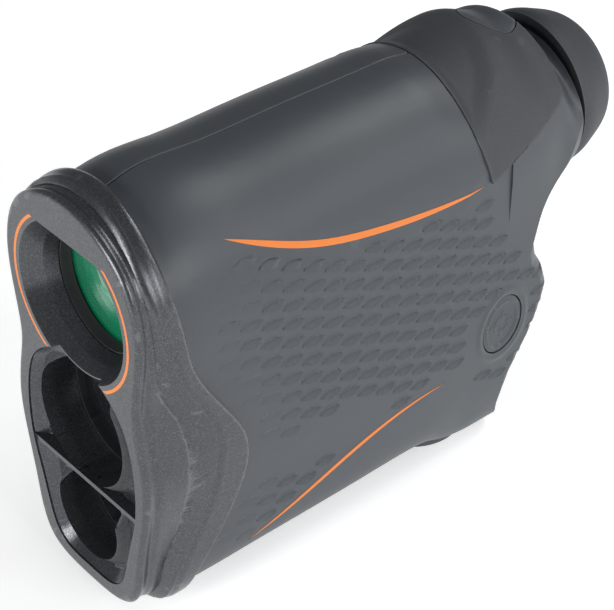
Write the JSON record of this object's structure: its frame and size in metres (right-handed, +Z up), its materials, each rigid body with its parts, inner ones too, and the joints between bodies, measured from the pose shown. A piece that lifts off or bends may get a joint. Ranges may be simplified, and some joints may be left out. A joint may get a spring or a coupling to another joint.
{
  "type": "laser rangefinder",
  "caption": "Handheld laser rangefinder with a viewing objective above two lower windows, an eyepiece, a rubber saddle and leaf textured grip sides.",
  "frame": {"origin": "under the middle of the object, on the plane that the flat of the battery cap rests on", "axes": "+Z up, +Y from the front windows to the eyecup along the viewing axis, +X to the object's left side as held"},
  "size_m": [0.0346, 0.097, 0.073],
  "materials": {
    "bezel_plastic": "dark grey moulded plastic with fine metallic flake, satin sheen",
    "casing_plastic": "blue-grey moulded plastic, fine satin grain",
    "grip_rubber": "dark grey soft rubber with pale speckle",
    "orange_inlay": "orange inlay, satin",
    "button_rubber": "dark grey satin rubber",
    "coated_glass": "green anti-reflection coated glass",
    "dark_glass": "near black infrared filter glass",
    "clear_glass": "polished clear glass",
    "black_plastic": "matt black plastic",
    "tube_metal": "black anodised aluminium, fine turned rings",
    "steel": "bright steel",
    "board_green": "green solder mask over fibreglass",
    "chip_black": "black epoxy",
    "ribbon_amber": "amber polyimide film",
    "battery_wrap": "plain dark blue shrink wrap",
    "seal_rubber": "black seal rubber",
    "brass": "plain brass"
  },
  "bodies": {
    "casing": {"front_bezel": "bezel_plastic", "left_trim_arc": "orange_inlay", "right_trim_arc": "orange_inlay", "left_shell": "casing_plastic", "right_shell": "casing_plastic", "left_stripes": "orange_inlay", "right_stripes": "orange_inlay", "saddle_pad": "grip_rubber", "shell_screws": "steel", "lanyard_loop": "black_plastic", "objective_lens": "coated_glass", "objective_tube": "tube_metal", "objective_retainer": "black_plastic", "receiver_lens": "dark_glass", "receiver_tube": "tube_metal", "emitter_lens": "dark_glass", "emitter_tube": "tube_metal", "receiver_sensor": "steel", "laser_diode": "brass", "optics_frame": "black_plastic", "half_prism": "clear_glass", "roof_prism": "clear_glass", "eyepiece_tube": "black_plastic", "display_panel": "clear_glass", "main_board": "board_green", "mode_switch": "steel", "fire_switch": "steel", "board_chips": "chip_black", "display_ribbon": "ribbon_amber", "battery_tube": "black_plastic", "battery": "battery_wrap", "battery_spring": "steel"},
    "fire_button": {"fire_button": "button_rubber"},
    "mode_button": {"mode_button": "button_rubber"},
    "dioptre_ring": {"dioptre_ring": "black_plastic", "eyecup": "grip_rubber"},
    "eye_cell": {"eye_lens_cell": "black_plastic", "eye_lens": "clear_glass"},
    "battery_cap": {"battery_cap": "casing_plastic", "cap_seal": "seal_rubber"},
    "cap_tab": {"cap_tab": "casing_plastic"}
  },
  "joints": [
    {"name": "fire_press", "type": "slide", "parent": "casing", "child": "fire_button", "axis": [0, 0, -1], "range_m": [0, 0.0006], "stiffness_N_per_m": 2500, "springref_m": -0.0002},
    {"name": "mode_press", "type": "slide", "parent": "casing", "child": "mode_button", "axis": [-1, 0, 0], "range_m": [0, 0.0005], "stiffness_N_per_m": 2500, "springref_m": -0.0002},
    {"name": "dioptre_turn", "type": "hinge", "parent": "casing", "child": "dioptre_ring", "pos_m": [0, 0.0435, 0.0546], "axis": [0, 1, 0], "range_deg": [-60, 60]},
    {"name": "eye_lens_focus", "type": "slide", "parent": "casing", "child": "eye_cell", "axis": [0, 1, 0], "range_m": [-0.00092, 0.00092]},
    {"name": "cap_turn", "type": "hinge", "parent": "casing", "child": "battery_cap", "pos_m": [0, 0.017, 0.0012], "axis": [0, 0, -1], "range_deg": [0, 90]},
    {"name": "tab_flip", "type": "hinge", "parent": "battery_cap", "child": "cap_tab", "pos_m": [0, 0.017, 0.00045], "axis": [1, 0, 0], "range_deg": [0, 90]}
  ],
  "couplings": [
    {"joint": "dioptre_turn", "follows": "eye_lens_focus", "rad_per_m": 1047.2}
  ]
}
